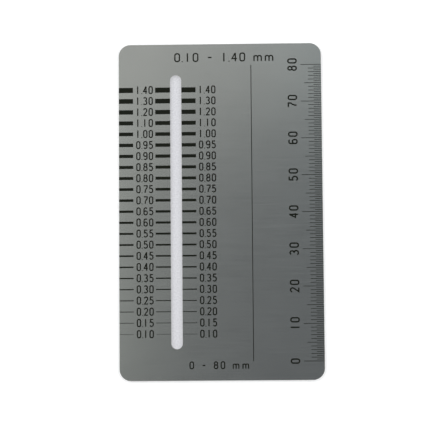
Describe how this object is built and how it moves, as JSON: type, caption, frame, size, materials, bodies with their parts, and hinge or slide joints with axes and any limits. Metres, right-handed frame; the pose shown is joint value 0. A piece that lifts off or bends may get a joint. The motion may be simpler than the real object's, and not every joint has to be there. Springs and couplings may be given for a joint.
{
  "type": "crack width gauge",
  "caption": "Flat stainless card with rounded corners, a long viewing slot between rows of black bars of stepped width, and a millimetre rule along one edge.",
  "frame": {"origin": "middle of the underside, where the card rests", "axes": "+X towards the edge with the rule, +Y towards the widest bars, +Z out of the marked face"},
  "size_m": [0.055, 0.091, 0.0005],
  "materials": {
    "stainless_steel": "satin, matt rolled",
    "black_enamel": "matt, baked into etched lines"
  },
  "bodies": {
    "root": {"gauge_plate": "stainless_steel", "edge_width_bars": "black_enamel", "slot_left_width_bars": "black_enamel", "slot_right_width_bars": "black_enamel", "rule_graduations": "black_enamel", "divider_line": "black_enamel"}
  },
  "joints": []
}
